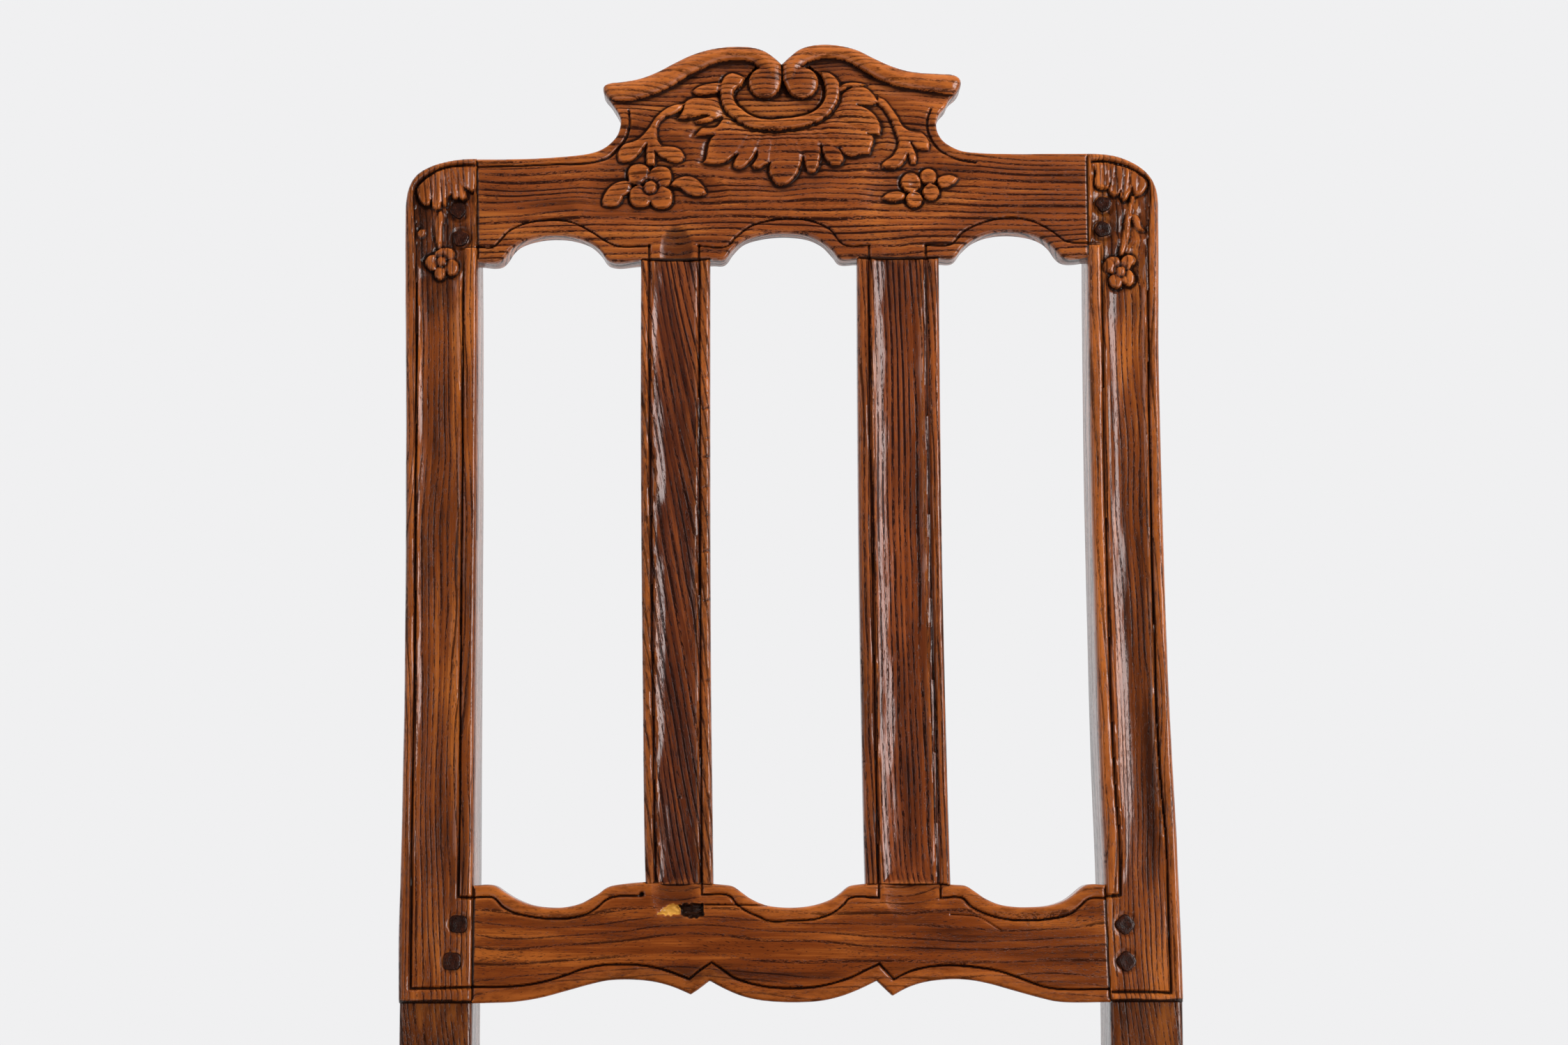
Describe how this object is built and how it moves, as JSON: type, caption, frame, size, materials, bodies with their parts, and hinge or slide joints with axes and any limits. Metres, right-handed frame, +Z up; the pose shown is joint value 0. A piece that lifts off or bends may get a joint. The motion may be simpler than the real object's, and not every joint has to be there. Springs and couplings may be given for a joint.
{
  "type": "wainscot chair",
  "caption": "Pegged wooden side chair with a carved shaped crest rail, open slatted back, flat board seat, curved front legs and an H stretcher.",
  "frame": {"origin": "on the floor, under the middle of the chair's overall width and depth", "axes": "+Z up; the chair faces -Y; +X to the right of someone looking at its front"},
  "size_m": [0.4889, 0.5056, 1.094],
  "materials": {
    "frame_wood": "waxed, dark in the pores and hollows",
    "seat_wood": "waxed and worn",
    "peg_wood": "dark end grain"
  },
  "bodies": {
    "root": {"left_rear_post": "frame_wood", "right_rear_post": "frame_wood", "crest_rail": "frame_wood", "lower_back_rail": "frame_wood", "left_back_slat": "frame_wood", "right_back_slat": "frame_wood", "left_front_leg": "frame_wood", "right_front_leg": "frame_wood", "front_seat_rail": "frame_wood", "left_seat_rail": "frame_wood", "right_seat_rail": "frame_wood", "rear_seat_rail": "frame_wood", "left_side_stretcher": "frame_wood", "right_side_stretcher": "frame_wood", "cross_stretcher": "frame_wood", "front_seat_board": "seat_wood", "rear_seat_board": "seat_wood", "crest_rail_pegs": "peg_wood", "lower_back_rail_pegs": "peg_wood", "seat_board_pegs": "peg_wood", "front_rail_pegs": "peg_wood", "rear_rail_pegs": "peg_wood", "side_rail_front_pegs": "peg_wood", "side_rail_rear_pegs": "peg_wood", "side_stretcher_pegs": "peg_wood", "cross_stretcher_pegs": "peg_wood"}
  },
  "joints": []
}
